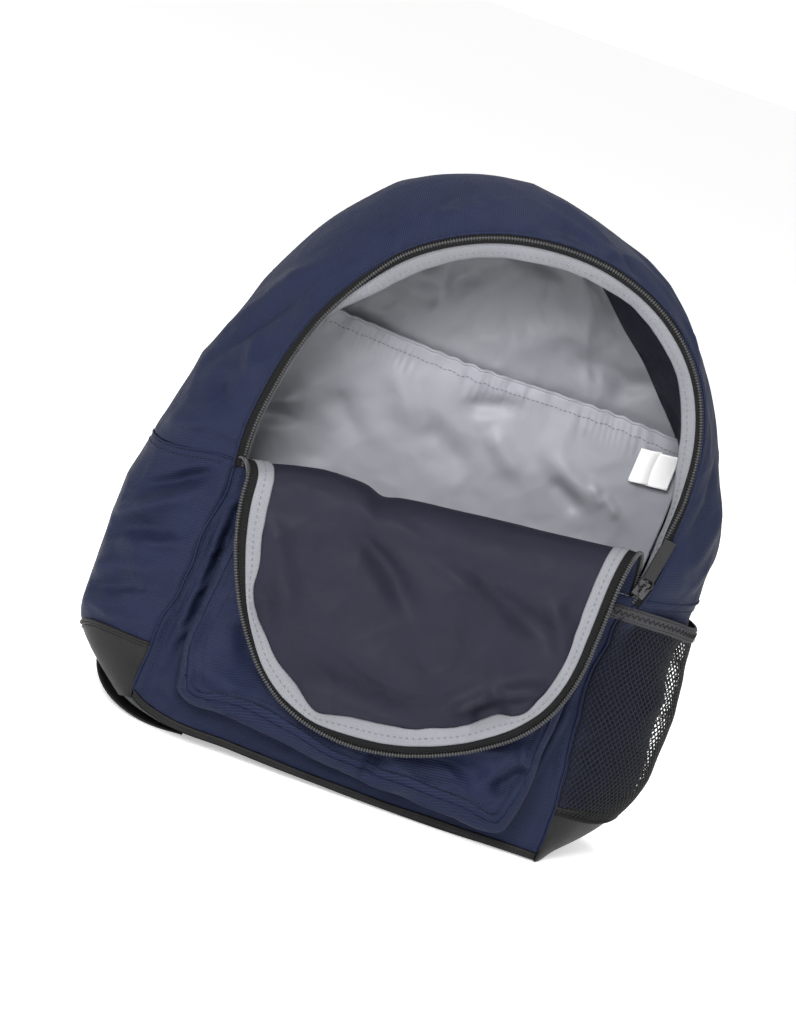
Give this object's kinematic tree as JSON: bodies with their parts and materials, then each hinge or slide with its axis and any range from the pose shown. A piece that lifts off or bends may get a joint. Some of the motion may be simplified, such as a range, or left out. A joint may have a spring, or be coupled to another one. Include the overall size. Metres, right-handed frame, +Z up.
{
  "type": "school backpack",
  "caption": "Soft school backpack with a round zipped front opening folded down, box front pocket, mesh side pocket, padded straps and a leather-look base.",
  "frame": {"origin": "on the floor, in the middle of the base panel's underside", "axes": "+Z up the bag, -Y towards the front, +X towards the side with the mesh pocket"},
  "size_m": [0.4101, 0.2168, 0.4511],
  "materials": {
    "shell_fabric": "coated twill",
    "base_leather": "grained synthetic leather",
    "lining": "plain woven lining",
    "binding": "ribbed seam binding",
    "zip_tape": "knitted zip tape",
    "zip_coil": "moulded coil",
    "slider_metal": "polished",
    "ring_metal": "black plated",
    "pull_rubber": "matt",
    "mesh": "open diamond mesh",
    "elastic": "ribbed elastic",
    "webbing": "woven webbing",
    "buckle": "moulded",
    "foam": "closed-cell padding",
    "board": "stiffener sheet",
    "label": "plain satin label"
  },
  "bodies": {
    "bag": {"back_foam": "foam", "back_lining": "lining", "back_panel": "shell_fabric", "base_board": "board", "base_panel": "base_leather", "body_seam_binding": "binding", "body_zip_coil": "zip_coil", "body_zip_tape": "zip_tape", "care_label": "label", "front_panel": "shell_fabric", "haul_loop": "webbing", "left_base_tab": "webbing", "left_lower_webbing": "webbing", "left_side_panel": "shell_fabric", "mesh_pocket": "mesh", "mesh_pocket_elastic": "elastic", "pocket_face": "shell_fabric", "pocket_gusset": "shell_fabric", "pocket_zip_coil": "zip_coil", "pocket_zip_tape": "zip_tape", "right_base_tab": "webbing", "right_lower_webbing": "webbing", "right_side_panel": "shell_fabric", "sleeve_hem": "lining", "sleeve_panel": "lining", "strap_yoke": "shell_fabric", "top_band": "shell_fabric"},
    "flap": {"flap_panel": "shell_fabric", "flap_zip_tape": "zip_tape", "flap_zip_coil": "zip_coil", "flap_seam_binding": "binding"},
    "main_slider": {"main_zip_slider": "slider_metal"},
    "main_pull": {"main_zip_ring": "ring_metal", "main_zip_tab": "pull_rubber"},
    "pocket_slider": {"pocket_zip_slider": "slider_metal"},
    "pocket_pull": {"pocket_zip_ring": "ring_metal", "pocket_zip_tab": "pull_rubber"},
    "left_strap": {"left_strap": "shell_fabric", "left_lock_webbing": "webbing", "left_ladder_lock": "buckle", "left_webbing_tail": "webbing"},
    "right_strap": {"right_strap": "shell_fabric", "right_lock_webbing": "webbing", "right_ladder_lock": "buckle", "right_webbing_tail": "webbing"}
  },
  "joints": [
    {"name": "flap_fold", "type": "hinge", "parent": "bag", "child": "flap", "pos_m": [0, -0.0885, 0.232], "axis": [-1, 0, 0], "range_deg": [0, 180]},
    {"name": "main_zip", "type": "hinge", "parent": "bag", "child": "main_slider", "pos_m": [0.006, -0.065, 0.261], "axis": [0, -1, 0], "range_deg": [0, 214]},
    {"name": "main_pull_swing", "type": "hinge", "parent": "main_slider", "child": "main_pull", "pos_m": [0.15327, -0.0698, 0.21598], "axis": [0.9563, 0, -0.2924], "range_deg": [0, 170]},
    {"name": "pocket_zip", "type": "slide", "parent": "bag", "child": "pocket_slider", "axis": [1, 0, 0], "range_m": [0, 0.19]},
    {"name": "pocket_pull_swing", "type": "hinge", "parent": "pocket_slider", "child": "pocket_pull", "pos_m": [-0.097, -0.086, 0.1918], "axis": [0, -1, 0], "range_deg": [0, 170]},
    {"name": "left_strap_swing", "type": "hinge", "parent": "bag", "child": "left_strap", "pos_m": [-0.053, 0.07, 0.385], "axis": [1, 0, 0], "range_deg": [0, 20]},
    {"name": "right_strap_swing", "type": "hinge", "parent": "bag", "child": "right_strap", "pos_m": [0.053, 0.07, 0.385], "axis": [1, 0, 0], "range_deg": [0, 20]}
  ]
}
